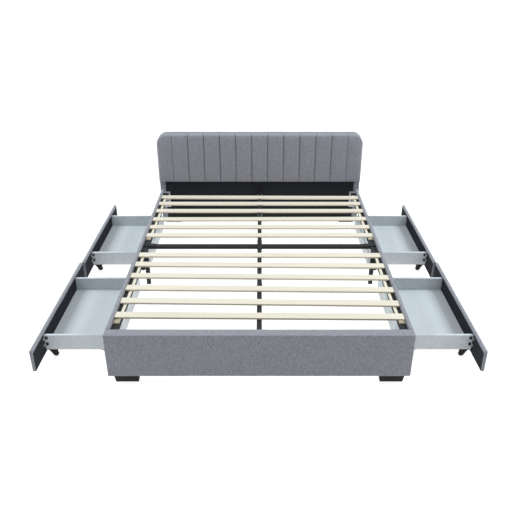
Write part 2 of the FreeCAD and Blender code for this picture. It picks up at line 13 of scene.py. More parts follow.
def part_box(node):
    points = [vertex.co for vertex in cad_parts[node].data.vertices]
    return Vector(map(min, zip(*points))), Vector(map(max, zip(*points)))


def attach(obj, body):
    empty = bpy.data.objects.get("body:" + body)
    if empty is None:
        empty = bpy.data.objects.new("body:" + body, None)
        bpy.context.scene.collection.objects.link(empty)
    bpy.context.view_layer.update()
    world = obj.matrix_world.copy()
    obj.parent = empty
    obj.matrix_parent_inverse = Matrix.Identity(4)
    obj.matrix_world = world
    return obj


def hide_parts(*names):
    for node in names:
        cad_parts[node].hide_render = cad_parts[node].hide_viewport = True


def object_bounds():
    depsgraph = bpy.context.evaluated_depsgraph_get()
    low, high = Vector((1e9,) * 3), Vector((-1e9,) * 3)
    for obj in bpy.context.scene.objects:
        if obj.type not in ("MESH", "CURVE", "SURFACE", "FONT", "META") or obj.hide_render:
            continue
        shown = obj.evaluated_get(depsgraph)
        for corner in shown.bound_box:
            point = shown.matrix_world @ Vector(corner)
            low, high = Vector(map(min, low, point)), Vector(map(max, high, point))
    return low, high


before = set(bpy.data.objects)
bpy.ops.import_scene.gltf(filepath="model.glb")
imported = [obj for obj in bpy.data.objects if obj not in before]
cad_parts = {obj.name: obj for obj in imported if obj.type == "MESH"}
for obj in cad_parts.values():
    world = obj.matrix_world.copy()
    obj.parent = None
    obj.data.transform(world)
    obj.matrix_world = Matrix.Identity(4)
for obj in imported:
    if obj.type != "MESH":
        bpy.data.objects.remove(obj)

cad_low, cad_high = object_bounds()
DRAWERS = ("drawer_foot_left", "drawer_head_left", "drawer_foot_right", "drawer_head_right")

# ---------------------------------------------------------------- material helpers


def start_material(name, roughness, **settings):
    """A material with its Principled shader's uniform values set on the shader itself."""
    material = bpy.data.materials.new(name)
    material.use_nodes = True
    shader = material.node_tree.nodes["Principled BSDF"]
    shader.inputs["Roughness"].default_value = roughness
    for socket, amount in settings.items():
        shader.inputs[socket.replace("_", " ")].default_value = amount
    return material, material.node_tree, shader


def add_node(tree, kind, sockets=None, **settings):
    """A node with its settings, and its inputs linked to sockets or set to values."""
    made = tree.nodes.new(kind)
    for key, setting in settings.items():
        setattr(made, key, setting)
    for key, source in (sockets or {}).items():
        if isinstance(source, bpy.types.NodeSocket):
            tree.links.new(source, made.inputs[key])
        else:
            made.inputs[key].default_value = source
    return made


def math_node(tree, operation, first, second=0.0):
    """The output of a Math node."""
    return add_node(tree, "ShaderNodeMath", {0: first, 1: second}, operation=operation).outputs[0]


def object_place(tree):
    """The point's place in the piece's own metres."""
    return add_node(tree, "ShaderNodeTexCoord").outputs["Object"]


def stretched(tree, place, scale):
    """The place scaled by a different amount along each axis."""
    mapping = add_node(tree, "ShaderNodeMapping", {"Vector": place, "Scale": scale})
    return mapping.outputs["Vector"]


def noise_value(tree, place, scale, detail=2.0, roughness=0.5):
    """Fractal noise from 0 to 1, with its scale in cells per metre."""
    sockets = {"Vector": place, "Scale": scale, "Detail": detail, "Roughness": roughness}
    return add_node(tree, "ShaderNodeTexNoise", sockets).outputs["Fac"]


def blend(tree, amount, first, second, mode="MIX"):
    """The colour between two colours."""
    mix = add_node(tree, "ShaderNodeMix", data_type="RGBA", blend_type=mode)
    for index, source in ((0, amount), (6, first), (7, second)):
        if isinstance(source, bpy.types.NodeSocket):
            tree.links.new(source, mix.inputs[index])
        else:
            mix.inputs[index].default_value = source
    return mix.outputs[2]


def spread(tree, amount, low, high):
    """Stretch a value so that low becomes 0 and high becomes 1."""
    sockets = {"Value": amount, "From Min": low, "From Max": high}
    return add_node(tree, "ShaderNodeMapRange", sockets).outputs["Result"]


def between(tree, amount, low, high):
    """Map a value from 0..1 to low..high."""
    sockets = {"Value": amount, "To Min": low, "To Max": high}
    return add_node(tree, "ShaderNodeMapRange", sockets).outputs["Result"]


def bump(tree, shader, height, distance, strength=1.0):
    """Add a relief to the shader's normal."""
    sockets = {"Height": height, "Distance": distance, "Strength": strength}
    made = add_node(tree, "ShaderNodeBump", sockets)
    tree.links.new(made.outputs["Normal"], shader.inputs["Normal"])


def face_plane(tree):
    """Two coordinates that lie in the face, whichever way it looks."""
    coordinates = add_node(tree, "ShaderNodeTexCoord")
    x, y, z = add_node(tree, "ShaderNodeSeparateXYZ", {0: coordinates.outputs["Object"]}).outputs
    facing = add_node(tree, "ShaderNodeSeparateXYZ", {0: coordinates.outputs["Normal"]}).outputs
    looks_sideways = math_node(tree, "GREATER_THAN", math_node(tree, "ABSOLUTE", facing[0]), 0.7)
    looks_up = math_node(tree, "GREATER_THAN", math_node(tree, "ABSOLUTE", facing[2]), 0.7)

    def choose(switch, off, on):
        made = add_node(tree, "ShaderNodeMix", data_type="FLOAT")
        for index, source in ((0, switch), (2, off), (3, on)):
            tree.links.new(source, made.inputs[index])
        return made.outputs[0]

    return choose(looks_sideways, x, y), choose(looks_up, z, y)


# Noise cells per metre: thick places in the yarns of each direction, flecks, patches and wobble.
SLUBS_ACROSS = (90, 500, 500)
SLUBS_ALONG = (500, 120, 90)
FLECK_CELLS = 130
PATCH_CELLS = 22
WOBBLE_CELLS = 60


def woven_fabric(name, dark, light, pitch, relief, roughness=0.92, sheen=0.25):
    """A plain-weave cloth of slubby two-tone yarn."""
    material, tree, shader = start_material(name, roughness, Sheen_Weight=sheen, Sheen_Roughness=0.55)
    across, along = face_plane(tree)
    wobble = noise_value(tree, object_place(tree), WOBBLE_CELLS, 1)
    turns = 2 * math.pi / pitch

    def yarn(coordinate):
        shifted = math_node(tree, "MULTIPLY_ADD", coordinate, turns)
        shifted.node.inputs[2].default_value = 0
        tree.links.new(wobble, shifted.node.inputs[2])
        return math_node(tree, "SINE", shifted)

    weave = math_node(tree, "MULTIPLY", yarn(across), yarn(along))
    place = object_place(tree)
    slub_across = noise_value(tree, stretched(tree, place, SLUBS_ACROSS), 1, 2)
    slub_along = noise_value(tree, stretched(tree, place, SLUBS_ALONG), 1, 2)
    slubs = math_node(tree, "ADD", slub_across, slub_along)
    patches = between(tree, noise_value(tree, place, PATCH_CELLS, 3), -0.05, 0.05)
    flecks = between(tree, noise_value(tree, place, FLECK_CELLS, 2), -0.2, 0.2)
    melange = math_node(tree, "ADD", slubs, math_node(tree, "ADD", patches, flecks))
    tone = spread(tree, melange, 0.72, 1.28)
    tree.links.new(blend(tree, tone, dark, light), shader.inputs["Base Color"])
    height = math_node(tree, "ADD", math_node(tree, "MULTIPLY", weave, 0.5), slubs)
    bump(tree, shader, height, relief)
    return material


DOT_PITCH = 0.0022
PLY_PITCH = 0.0024
GRAIN_CELLS = (3, 170, 170)
STREAK_CELLS = (0.7, 28, 28)
CRYSTAL_CELLS = 160


def lining_cloth():
    """Black spunbond lining with its grid of pressed dots."""
    material, tree, shader = start_material("black_lining", 0.92, Specular_IOR_Level=0.12)
    across, along = face_plane(tree)
    turns = 2 * math.pi / DOT_PITCH
    dots = math_node(
        tree,
        "MULTIPLY",
        math_node(tree, "SINE", math_node(tree, "MULTIPLY", across, turns)),
        math_node(tree, "SINE", math_node(tree, "MULTIPLY", along, turns)),
    )
    fibres = noise_value(tree, object_place(tree), 180, 3)
    colour = blend(tree, fibres, (0.011, 0.0115, 0.0135, 1), (0.023, 0.024, 0.028, 1))
    tree.links.new(colour, shader.inputs["Base Color"])
    bump(tree, shader, math_node(tree, "ADD", dots, fibres), 0.00018)
    return material


def slat_wood():
    """Pale laminated wood: long grain on the faces, thin plies on the edges."""
    material, tree, shader = start_material("slat_wood", 0.5, Specular_IOR_Level=0.35)
    place = object_place(tree)
    grain = noise_value(tree, stretched(tree, place, GRAIN_CELLS), 1, 5, 0.6)
    streaks = noise_value(tree, stretched(tree, place, STREAK_CELLS), 1, 2)
    dark_grain, light_grain = (0.505, 0.450, 0.362, 1), (0.665, 0.618, 0.525, 1)
    pale = blend(tree, spread(tree, grain, 0.3, 0.7), dark_grain, light_grain)
    toned = blend(tree, spread(tree, streaks, 0.25, 0.8), pale, (0.64, 0.585, 0.49, 1))
    coordinates = add_node(tree, "ShaderNodeTexCoord")
    facing = add_node(tree, "ShaderNodeSeparateXYZ", {0: coordinates.outputs["Normal"]}).outputs
    height = add_node(tree, "ShaderNodeSeparateXYZ", {0: place}).outputs[2]
    plies = math_node(tree, "SINE", math_node(tree, "MULTIPLY", height, 2 * math.pi / PLY_PITCH))
    dark_ply, light_ply = (0.53, 0.465, 0.365, 1), (0.72, 0.645, 0.525, 1)
    ply_colour = blend(tree, between(tree, plies, 0.3, 0.7), dark_ply, light_ply)
    on_edge = math_node(tree, "GREATER_THAN", math_node(tree, "ABSOLUTE", facing[2]), 0.6)
    tree.links.new(blend(tree, on_edge, ply_colour, toned), shader.inputs["Base Color"])
    tree.links.new(between(tree, grain, 0.42, 0.58), shader.inputs["Roughness"])
    bump(tree, shader, grain, 0.0003, 0.6)
    return material


THREADS = (500, 60, 500)
CROSS_THREADS = (60, 500, 60)


def drawer_board():
    """Pale blue-grey foil on board, pressed with a fine linen relief."""
    material, tree, shader = start_material("drawer_board", 0.5, Specular_IOR_Level=0.4)
    place = object_place(tree)
    threads = noise_value(tree, stretched(tree, place, THREADS), 1, 2)
    cross_threads = noise_value(tree, stretched(tree, place, CROSS_THREADS), 1, 2)
    relief = math_node(tree, "ADD", threads, cross_threads)
    clouds = noise_value(tree, place, 7, 3)
    dull, clear = (0.44, 0.475, 0.50, 1), (0.49, 0.525, 0.55, 1)
    colour = blend(tree, spread(tree, clouds, 0.25, 0.75), dull, clear)
    speckled = blend(tree, spread(tree, relief, 0.8, 1.2), colour, (0.54, 0.575, 0.60, 1))
    tree.links.new(speckled, shader.inputs["Base Color"])
    tree.links.new(between(tree, clouds, 0.42, 0.58), shader.inputs["Roughness"])
    bump(tree, shader, relief, 0.00012)
    return material


def hard_surface(name, colour, worn, roughness, metallic, grain, relief, gloss=0.3):
    """Paint, plating or moulded plastic with slight colour, gloss and surface variation."""
    material, tree, shader = start_material(name, roughness, Metallic=metallic, Specular_IOR_Level=gloss)
    place = object_place(tree)
    fine = noise_value(tree, place, grain, 3)
    broad = noise_value(tree, place, 14, 3)
    toned = blend(tree, spread(tree, broad, 0.35, 0.8), colour, worn)
    tree.links.new(toned, shader.inputs["Base Color"])
    tree.links.new(between(tree, broad, roughness - 0.08, roughness + 0.1), shader.inputs["Roughness"])
    bump(tree, shader, fine, relief)
    return material


def zinc_plate():
    """Galvanised steel with its crystal pattern."""
    material, tree, shader = start_material("zinc", 0.38, Metallic=0.85)
    place = object_place(tree)
    sockets = {"Vector": place, "Scale": CRYSTAL_CELLS}
    crystals = add_node(tree, "ShaderNodeTexVoronoi", sockets).outputs["Color"]
    tone = add_node(tree, "ShaderNodeSeparateColor", {0: crystals}).outputs[0]
    toned = blend(tree, tone, (0.50, 0.52, 0.55, 1), (0.72, 0.74, 0.77, 1))
    tree.links.new(toned, shader.inputs["Base Color"])
    tree.links.new(between(tree, tone, 0.28, 0.5), shader.inputs["Roughness"])
    bump(tree, shader, noise_value(tree, place, 600, 2), 0.00006)
    return material


# Distance between yarns, and the depth of the weave.
CLOTH_WEAVE = (0.0019, 0.00045)
WEBBING_WEAVE = (0.0016, 0.0003)
GREY_YARNS = (0.124, 0.124, 0.144, 1), (0.272, 0.274, 0.312, 1)
# A darker copy of the grey yarns: painted shade on the headboard board's cover, where the pad shades it.
PAINTED_SHADE_YARNS = (0.090, 0.094, 0.108, 1), (0.196, 0.205, 0.232, 1)
BEIGE_YARNS = (0.50, 0.45, 0.36, 1), (0.71, 0.655, 0.55, 1)
# Darker beige for the folded strap tails: painted shade in place of the shading of a tilted tail.
TAIL_SHADE_YARNS = (0.26, 0.22, 0.155, 1), (0.42, 0.365, 0.27, 1)
STEEL_TONES = (0.010, 0.0105, 0.0115, 1), (0.020, 0.021, 0.023, 1)
PLASTIC_TONES = (0.008, 0.008, 0.009, 1), (0.015, 0.015, 0.017, 1)
RUBBER_TONES = (0.013, 0.013, 0.014, 1), (0.027, 0.026, 0.026, 1)
DARK_TONES = (0.035, 0.035, 0.04, 1), (0.075, 0.075, 0.085, 1)

UPHOLSTERY = woven_fabric("upholstery", *GREY_YARNS, *CLOTH_WEAVE)
WEBBING = woven_fabric("webbing", *BEIGE_YARNS, *WEBBING_WEAVE, sheen=0.1)
# The same upholstery painted darker as shade, for the board behind the headboard pad.
PAINTED_SHADE_UPHOLSTERY = woven_fabric("upholstery_painted_shade", *PAINTED_SHADE_YARNS, *CLOTH_WEAVE)
LINING = lining_cloth()
SLAT_WOOD = slat_wood()
BOARD = drawer_board()
BLACK_STEEL = hard_surface("black_steel", *STEEL_TONES, 0.5, 0.0, 700, 0.0001)
BLACK_PLASTIC = hard_surface("black_plastic", *PLASTIC_TONES, 0.55, 0.0, 900, 0.00008, gloss=0.18)
WHEEL_RUBBER = hard_surface("wheel_rubber", *RUBBER_TONES, 0.6, 0.0, 500, 0.0001)
DARK_BOLT = hard_surface("dark_bolt", *DARK_TONES, 0.36, 0.7, 900, 0.00005)
ZINC = zinc_plate()
# The webbing painted darker as shade, for the folded tails of the slat straps.
WEBBING_PAINTED_SHADE = woven_fabric("webbing_painted_shade", *TAIL_SHADE_YARNS, *WEBBING_WEAVE, sheen=0.1)

# ---------------------------------------------------------------- mesh helpers


class Shape:
    """Points and faces collected for one mesh; each face has the number of its material."""

    def __init__(self):
        self.points = []
        self.faces = []
        self.kinds = []

    def add(self, points, faces, kind=0, matrix=None):
        """Add some faces, moved by a matrix if one is given."""
        start = len(self.points)
        moved = [Vector(p) if matrix is None else matrix @ Vector(p) for p in points]
        self.points += moved
        self.faces += [[start + i for i in face] for face in faces]
        self.kinds += [kind] * len(faces)
        return self

    def add_shape(self, other, matrix):
        """Add a moved copy of another shape."""
        start = len(self.points)
        self.points += [matrix @ p for p in other.points]
        self.faces += [[start + i for i in face] for face in other.faces]
        self.kinds += other.kinds
        return self


def make_piece(name, shape, materials, body, merge=1e-6, sharp_angle=35):
    """Turn a shape into an object that rides on a body."""
    mesh = bpy.data.meshes.new(name)
    mesh.from_pydata([tuple(p) for p in shape.points], [], shape.faces)
    mesh.polygons.foreach_set("material_index", shape.kinds)
    work = bmesh.new()
    work.from_mesh(mesh)
    bmesh.ops.remove_doubles(work, verts=work.verts, dist=merge)
    bmesh.ops.recalc_face_normals(work, faces=work.faces)
    work.to_mesh(mesh)
    work.free()
    for material in materials:
        mesh.materials.append(material)
    mesh.shade_smooth()
    mesh.set_sharp_from_angle(angle=math.radians(sharp_angle))
    made = bpy.data.objects.new(name, mesh)
    bpy.context.scene.collection.objects.link(made)
    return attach(made, body)


def edge_samples(low, high, radius, cell, steps=4):
    """Places along one axis of a rounded box: close together in the rounding, then every cell."""
    turn = [math.radians(45 * i / steps) for i in range(steps, 0, -1)]
    rounding = [radius * (1 - math.tan(angle)) for angle in turn]
    count = max(1, round((high - low - 2 * radius) / cell))
    middle = np.linspace(low + radius, high - radius, count + 1)
    return np.array([low + r for r in rounding] + list(middle) + [high - r for r in reversed(rounding)])


def grid_faces(columns, rows, flip=False):
    """Quads of a grid of points stored row by row."""
    faces = []
    for j in range(rows - 1):
        for i in range(columns - 1):
            a = j * columns + i
            face = [a, a + 1, a + 1 + columns, a + columns]
            faces.append(face[::-1] if flip else face)
    return faces


def rounded_box(low, high, radius, cell=0.02):
    """A box with rounded edges and an even grid of quads on each side."""
    samples = [edge_samples(low[k], high[k], radius, cell) for k in range(3)]
    inner_low = np.array(low) + radius
    inner_high = np.array(high) - radius
    shape = Shape()
    for axis in range(3):
        first, second = [k for k in range(3) if k != axis]
        for side, level in ((0, low[axis]), (1, high[axis])):
            a, b = np.meshgrid(samples[first], samples[second])
            points = np.zeros((a.size, 3))
            points[:, first] = a.ravel()
            points[:, second] = b.ravel()
            points[:, axis] = level
            core = np.clip(points, inner_low, inner_high)
            away = points - core
            points = core + away / np.linalg.norm(away, axis=1)[:, None] * radius
            columns, rows = len(samples[first]), len(samples[second])
            shape.add(points.tolist(), grid_faces(columns, rows, flip=side == (axis == 1)))
    return shape


def ripple(piece, height, wavelength, seed):
    """Move a fabric surface in and out a little, as cloth pulled over a board lies."""
    mesh = piece.data
    shift = Vector((seed * 7.3, seed * 3.1, seed * 5.7))
    normals = [v.normal.copy() for v in mesh.vertices]
    for vertex, normal in zip(mesh.vertices, normals):
        amount = noise.noise((vertex.co + shift) / wavelength) - 0.15
        vertex.co += normal * amount * height
    mesh.update()


def prism(outline, low, high, axis):
    """An outline swept along an axis; the outline gives the two other coordinates in order."""
    def point(pair, level):
        values = list(pair)
        values.insert(axis, level)
        return values

    count = len(outline)
    points = [point(pair, level) for level in (low, high) for pair in outline]
    faces = [list(range(count))[::-1], list(range(count, 2 * count))]
    faces += [[i, (i + 1) % count, count + (i + 1) % count, count + i] for i in range(count)]
    return points, faces


def turned(profile, segments=24, facets=()):
    """A turned shape about +Z from (radius, height) pairs; the pairs in facets become hexagons."""
    points, faces = [], []
    for index, (radius, height) in enumerate(profile):
        for i in range(segments):
            angle = 2 * math.pi * i / segments
            reach = radius
            if index in facets:
                reach = radius * math.cos(math.pi / 6) / math.cos((angle % (math.pi / 3)) - math.pi / 6)
            points.append((reach * math.cos(angle), reach * math.sin(angle), height))
    for j in range(len(profile) - 1):
        for i in range(segments):
            after = (i + 1) % segments
            low, high = j * segments, (j + 1) * segments
            faces.append([low + i, low + after, high + after, high + i])
    faces.append(list(range(segments))[::-1])
    faces.append(list(range((len(profile) - 1) * segments, len(profile) * segments)))
    return points, faces


def solids(node):
    """Lowest and highest corner of each separate solid in a CAD node."""
    work = bmesh.new()
    work.from_mesh(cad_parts[node].data)
    bmesh.ops.remove_doubles(work, verts=work.verts, dist=1e-5)
    waiting = set(work.verts)
    boxes = []
    while waiting:
        edge = [waiting.pop()]
        found = []
        while edge:
            vertex = edge.pop()
            found.append(vertex.co.copy())
            linked = {e.other_vert(vertex) for e in vertex.link_edges} & waiting
            waiting -= linked
            edge += linked
        low = Vector([min(p[k] for p in found) for k in range(3)])
        high = Vector([max(p[k] for p in found) for k in range(3)])
        boxes.append((low, high))
    work.free()
    return sorted(boxes, key=lambda box: tuple(round(v, 5) for v in (*box[0], *box[1])))


def standing(place, direction):
    """A matrix that moves a shape made along +Z so that it stands out of a face at a place."""
    turn = Vector((0, 0, 1)).rotation_difference(Vector(direction)).to_matrix().to_4x4()
    return Matrix.Translation(place) @ turn


def arc(centre, radius, start, end, steps):
    """Points along a circular arc, with its angles in degrees."""
    angles = [math.radians(start + (end - start) * i / steps) for i in range(steps + 1)]
    return [(centre[0] + radius * math.cos(a), centre[1] + radius * math.sin(a)) for a in angles]


def rounded_outline(half_x, half_y, radius, steps=5):
    """A rectangle's outline with round corners, about the origin."""
    x, y = half_x - radius, half_y - radius
    outline = []
    for turn, centre in enumerate(((x, y), (-x, y), (-x, -y), (x, -y))):
        outline += arc(centre, radius, 90 * turn, 90 * turn + 90, steps)
    return outline


def bevel(piece, width, segments=2):
    """Soften a piece's hard edges."""
    modifier = piece.modifiers.new("edge_wear", "BEVEL")
    modifier.width = width
    modifier.segments = segments
    modifier.limit_method = "ANGLE"
    modifier.angle_limit = math.radians(40)


def paint_node(name, material, edge=0.0):
    """Give a CAD node its finish, and softened edges."""
    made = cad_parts[name]
    made.data.materials.clear()
    made.data.materials.append(material)
    if edge:
        weld = made.modifiers.new("weld", "WELD")
        weld.merge_threshold = 1e-5
        bevel(made, edge)


# ---------------------------------------------------------------- upholstery


COVER_RIPPLE = 0.0008
COVER_WAVE = 0.11


def wrapped_board(node, name, body, radius, seed, cell=0.02, ripple_height=COVER_RIPPLE):
    """A board with fabric pulled round it, in place of its CAD node."""
    low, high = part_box(node)
    piece = make_piece(name, rounded_box(low, high, radius, cell), [UPHOLSTERY], body)
    ripple(piece, ripple_height, COVER_WAVE, seed)
    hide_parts(node)
    return piece


LINING_PROUD = 0.0012
LINING_CELL = 0.025
LINING_WANDER = 0.0025
LINING_UNEVEN = 0.3


def lining_sheet(name, body, low, high, facing, proud=LINING_PROUD, shape_point=None):
    """Black lining stapled over the inside of a board: a thin sheet with slightly uneven edges.

    low and high are its corners on the board's face; facing is the axis it looks along, signed,
    and shape_point moves each point, as for a board with round corners.
    """
    axis = abs(facing) - 1
    sign = 1 if facing > 0 else -1
    first, second = [k for k in range(3) if k != axis]
    spans = (high[first] - low[first], high[second] - low[second])
    columns, rows = (max(2, round(span / LINING_CELL)) + 1 for span in spans)
    points = []
    for level in (0, proud):
        for j in range(rows):
            for i in range(columns):
                a = low[first] + spans[0] * i / (columns - 1)
                b = low[second] + spans[1] * j / (rows - 1)
                where = Vector((a * 9, b * 9, level + facing))
                if i in (0, columns - 1):
                    a += noise.noise(where) * LINING_WANDER
                if j in (0, rows - 1):
                    b += noise.noise(where + Vector((5, 5, 5))) * LINING_WANDER
                lift = level * (1 + LINING_UNEVEN * noise.noise(where * 3))
                point = [0, 0, 0]
                point[first], point[second], point[axis] = a, b, low[axis] + sign * lift
                points.append(shape_point(point) if shape_point else point)
    count = columns * rows
    faces = grid_faces(columns, rows, flip=True)
    faces += [[i + count for i in face] for face in grid_faces(columns, rows)]
    border = [i for i in range(columns)]
    border += [j * columns + columns - 1 for j in range(1, rows)]
    border += [(rows - 1) * columns + i for i in range(columns - 2, -1, -1)]
    border += [j * columns for j in range(rows - 2, 0, -1)]
    for a, b in zip(border, border[1:] + border[:1]):
        faces.append([a, b, b + count, a + count])
    piece = make_piece(name, Shape().add(points, faces), [LINING], body)
    return piece


PAD_SEAMS = 12
PAD_PITCH = 0.1257
# Height and depth of the rounding along the pad's edges, and the radius of its upper corners.
PAD_EDGE = (0.013, 0.020)
PAD_CORNER = 0.080
# How far the cover starts behind the pad's front, which leaves it room to puff out.
PAD_SLACK = 0.004
PAD_CROWN = 0.0035
PAD_RIPPLE = 0.0010
PAD_WAVE = 0.05
PAD_ROWS = 38
CHANNEL_STEPS = 10
GROOVE_DEPTH = 0.014
OUTER_GROOVE_DEPTH = 0.007
GROOVE_HALF = 0.012
# Share of a groove's depth left at the pad's edges, and the notch that it cuts in the top edge.
EDGE_GROOVE = 0.35
NOTCH = 0.6


def edge_steps():
    """Distances in from the pad's outline, evenly spread round the rounding of its edge."""
    return [PAD_EDGE[0] * (1 - math.cos(math.radians(15 * i))) for i in range(7)]


def pad_columns(half_width):
    """Places across the pad: close together at its ends and at each seam."""
    seams = [(i - (PAD_SEAMS - 1) / 2) * PAD_PITCH for i in range(PAD_SEAMS)]
    near_seam = [GROOVE_HALF * share for share in (0, 0.1, 0.25, 0.45, 0.7, 1)]
    places = {round(seam + side * step, 6) for seam in seams for step in near_seam for side in (-1, 1)}
    edge = [half_width - step for step in edge_steps()]
    places |= {round(side * x, 6) for side in (-1, 1) for x in edge}
    bounds = [-half_width + PAD_EDGE[0]] + seams + [half_width - PAD_EDGE[0]]
    for start, end in zip(bounds, bounds[1:]):
        inner = np.linspace(start + GROOVE_HALF, end - GROOVE_HALF, CHANNEL_STEPS)
        places |= {round(x, 6) for x in inner if start < x < end}
    return sorted(places), seams


def groove(x, seams):
    """How deep the surface lies below the crown of its channel."""
    nearest = min(seams, key=lambda seam: abs(x - seam))
    share = min(abs(x - nearest) / GROOVE_HALF, 1)
    deepest = OUTER_GROOVE_DEPTH if nearest in (seams[0], seams[-1]) else GROOVE_DEPTH
    return deepest * (1 - math.sqrt(1 - (1 - share) ** 2))


def headboard_pad():
    """The channelled pad: a closed form whose cover is pinned at its seams and puffed by its foam."""
    low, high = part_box("headboard_padding")
    half = high.x
    columns, seams = pad_columns(half)
    steps = edge_steps()[:-1]
    inner = np.linspace(low.z + PAD_EDGE[0], high.z - PAD_EDGE[0], PAD_ROWS)
    rows = [low.z + step for step in steps] + list(inner) + [high.z - step for step in reversed(steps)]
    points, rim = [], []
    for z in rows:
        for x in columns:
            inset = max(0.0, min(half - abs(x), high.z - z, z - low.z))
            share = min(inset / PAD_EDGE[0], 1)
            depth = PAD_EDGE[1] * (1 - math.sqrt(max(0.0, 1 - (1 - share) ** 2)))
            crown = PAD_CROWN * math.sin(math.pi * (z - low.z) / (high.z - low.z)) ** 0.5
            sunk = groove(x, seams)
            y = low.y + PAD_SLACK + depth + sunk * (EDGE_GROOVE + (1 - EDGE_GROOVE) * share) - crown * share
            px, pz = round_corner(x, z, half, high.z)
            rim.append((px, high.y, pz))
            over_top = max(0.0, 1 - (high.z - z) / PAD_EDGE[0])
            points.append((px, y, pz - NOTCH * sunk * over_top))
    width = len(columns)
    height = len(rows)
    shape = Shape().add(points, grid_faces(width, height, flip=True))
    border = list(range(width)) + [j * width + width - 1 for j in range(1, height)]
    border += [(height - 1) * width + i for i in range(width - 2, -1, -1)]
    border += [j * width for j in range(height - 2, 0, -1)]
    skirt = [rim[i] for i in border]
    start = len(shape.points)
    shape.points += [Vector(p) for p in skirt]
    for k, i in enumerate(border):
        after = (k + 1) % len(border)
        shape.faces.append([i, start + k, start + after, border[after]])
        shape.kinds.append(0)
    shape.faces.append([start + k for k in range(len(border))])
    shape.kinds.append(0)
    piece = make_piece("headboard_pad", shape, [UPHOLSTERY], "frame", sharp_angle=60)
    puff_cover(piece, seams, low, high)
    ripple(piece, PAD_RIPPLE, PAD_WAVE, 4)
    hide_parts("headboard_padding")
    return piece


def round_corner(x, z, half, top):
    """Move a point of a square-cornered pad into its rounded upper corners."""
    a = (abs(x) - (half - PAD_CORNER)) / PAD_CORNER
    b = (z - (top - PAD_CORNER)) / PAD_CORNER
    if a <= 0 or b <= 0:
        return x, z
    reach = max(a, b)
    angle = math.pi / 4 * b / a if a >= b else math.pi / 2 - math.pi / 4 * a / b
    new_x = half - PAD_CORNER + PAD_CORNER * reach * math.cos(angle)
    return math.copysign(new_x, x), top - PAD_CORNER + PAD_CORNER * reach * math.sin(angle)


PUFF_PRESSURE = 1.6
PUFF_FRAMES = 14
PUFF_CAP = 0.005
SEAM_HOLD = 0.0015
BACK_HOLD = 0.016
FOOT_HOLD = 0.003


def puff_cover(piece, seams, low, high):
    """Let the cover settle as cloth under the foam's pressure, held along its seams and its back."""
    mesh = piece.data
    before = np.array([v.co for v in mesh.vertices])
    pins = piece.vertex_groups.new(name="held")
    for vertex in mesh.vertices:
        at_seam = min(abs(vertex.co.x - seam) for seam in seams) < SEAM_HOLD
        if at_seam or vertex.co.y > high.y - BACK_HOLD or vertex.co.z < low.z + FOOT_HOLD:
            pins.add([vertex.index], 1.0, "REPLACE")
    cloth = piece.modifiers.new("cover", "CLOTH")
    cloth.settings.quality = 4
    cloth.settings.mass = 0.35
    cloth.settings.tension_stiffness = 25
    cloth.settings.compression_stiffness = 25
    cloth.settings.bending_stiffness = 1.5
    cloth.settings.vertex_group_mass = "held"
    cloth.settings.use_pressure = True
    cloth.settings.uniform_pressure_force = PUFF_PRESSURE
    cloth.settings.effector_weights.gravity = 0
    cloth.collision_settings.use_collision = False
    scene = bpy.context.scene
    scene.frame_end = PUFF_FRAMES
    for number in range(1, PUFF_FRAMES + 1):
        scene.frame_set(number)
    settled = piece.evaluated_get(bpy.context.evaluated_depsgraph_get())
    after = np.array([v.co for v in settled.data.vertices])
    piece.modifiers.remove(cloth)
    piece.vertex_groups.remove(pins)
    scene.frame_set(1)
    moves = after - before
    lengths = np.linalg.norm(moves, axis=1)
    moves *= np.minimum(1, PUFF_CAP / np.maximum(lengths, 1e-9))[:, None]
    mesh.vertices.foreach_set("co", (before + moves).ravel())
    mesh.update()


CORE_ROUND = 0.006
CORE_CELL = 0.009
BACK_MARGIN = 0.014


def headboard_core():
    """The board behind the pad, wrapped in a darker copy of the same fabric as painted shade, with lining
    over its back.
    """
    low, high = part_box("headboard_core")
    shape = rounded_box(low, high, CORE_ROUND, CORE_CELL)
    for point in shape.points:
        point.x, point.z = round_corner(point.x, point.z, high.x, high.z)
    # Its cover takes the darker fabric: painted shade on the band that shows round the pad.
    piece = make_piece("headboard_board", shape, [PAINTED_SHADE_UPHOLSTERY], "frame")
    ripple(piece, COVER_RIPPLE, COVER_WAVE, 2)
    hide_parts("headboard_core")

    def follow_corner(point):
        point[0], point[2] = round_corner(point[0], point[2], high.x - BACK_MARGIN, high.z - BACK_MARGIN)
        return point

    sheet_low = Vector((low.x + BACK_MARGIN, high.y, low.z + BACK_MARGIN))
    sheet_high = Vector((high.x - BACK_MARGIN, high.y, high.z - BACK_MARGIN))
    lining_sheet(
        "headboard_back_lining", "frame", sheet_low, sheet_high, 2, shape_point=follow_corner
    )


# ---------------------------------------------------------------- the bed's frame


FOOTBOARD_ROUND = 0.005
BOARD_ROUND = 0.004


def frame_upholstery():
    """Footboard, rails, posts and the headboard."""
    wrapped_board("footboard", "footboard_cover", "frame", FOOTBOARD_ROUND, 1)
    for seed, side in ((3, "left"), (5, "right")):
        wrapped_board(f"side_rail_{side}", f"side_rail_cover_{side}", "frame", BOARD_ROUND, seed)
    low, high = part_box("headboard_posts")
    posts = Shape()
    width = solids("headboard_posts")[0][1].x - low.x
    for start in (low.x, high.x - width):
        post = rounded_box((start, low.y, low.z), (start + width, high.y, high.z), BOARD_ROUND)
        posts.add_shape(post, Matrix())
    piece = make_piece("headboard_post_covers", posts, [UPHOLSTERY], "frame")
    ripple(piece, COVER_RIPPLE, COVER_WAVE, 6)
    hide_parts("headboard_posts")
    headboard_pad()
    headboard_core()
    frame_linings()


RAIL_MARGIN = 0.006
LEDGER_GAP = 0.001


